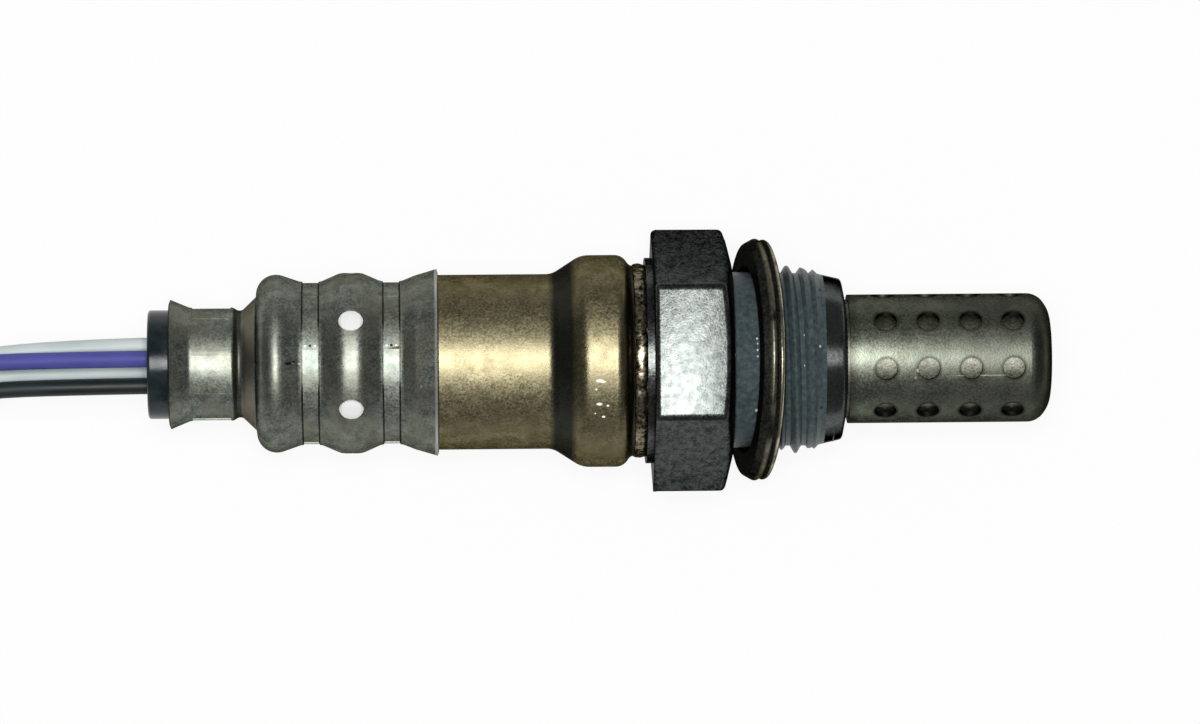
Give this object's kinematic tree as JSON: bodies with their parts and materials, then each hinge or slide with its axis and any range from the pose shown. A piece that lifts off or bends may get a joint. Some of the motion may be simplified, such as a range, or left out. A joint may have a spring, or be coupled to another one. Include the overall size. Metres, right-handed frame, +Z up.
{
  "type": "oxygen sensor",
  "caption": "Screw-in exhaust oxygen sensor with hexagon, perforated tip, corrugated vented cover, white, violet and black leads, and a plug on the far end of the coiled leads.",
  "frame": {"origin": "on the sensor's axis, in the plane of the hexagon's sealing face, where the gasket seats", "axes": "+X along the axis towards the sensing tip, the way the sensor screws into the exhaust, and +Z up from the surface that the sensor lies on"},
  "size_m": [0.1744, 0.031, 0.023],
  "materials": {
    "housing_steel": "satin",
    "gasket_steel": "satin",
    "tip_steel": "satin",
    "inner_tip_steel": "satin",
    "tinted_steel": "satin",
    "cover_steel": "satin",
    "filter_white": "matte",
    "element_ceramic": "matte",
    "white_ceramic": "matte",
    "talc": "matte",
    "contact_metal": "satin",
    "black_rubber": "matte",
    "white_lead": "satin",
    "violet_lead": "satin",
    "black_lead": "satin",
    "tie_plastic": "matte",
    "plug_plastic": "matte",
    "lock_plastic": "matte",
    "plug_seal_rubber": "matte"
  },
  "bodies": {
    "root": {"housing": "housing_steel", "sealing_gasket": "gasket_steel", "outer_protection_tube": "tip_steel", "inner_protection_tube": "inner_tip_steel", "air_side_cover": "tinted_steel", "filter_cover": "cover_steel", "vent_filter": "filter_white", "zirconia_element": "element_ceramic", "heater_rod": "white_ceramic", "seat_washer": "contact_metal", "talc_seal": "talc", "ceramic_bush": "white_ceramic", "crimp_ring": "contact_metal", "contact_separator": "white_ceramic", "disc_spring": "contact_metal", "terminal_signal": "contact_metal", "terminal_ground": "contact_metal", "terminal_heater_a": "contact_metal", "terminal_heater_b": "contact_metal", "lead_grommet": "black_rubber", "lead_white_a": "white_lead", "lead_white_b": "white_lead", "lead_violet": "violet_lead", "lead_black": "black_lead", "lead_coil": "black_lead", "coil_tie": "tie_plastic", "connector_housing": "plug_plastic", "connector_lock": "lock_plastic", "connector_wire_seal": "plug_seal_rubber", "connector_front_seal": "plug_seal_rubber", "connector_terminals": "contact_metal"}
  },
  "joints": []
}
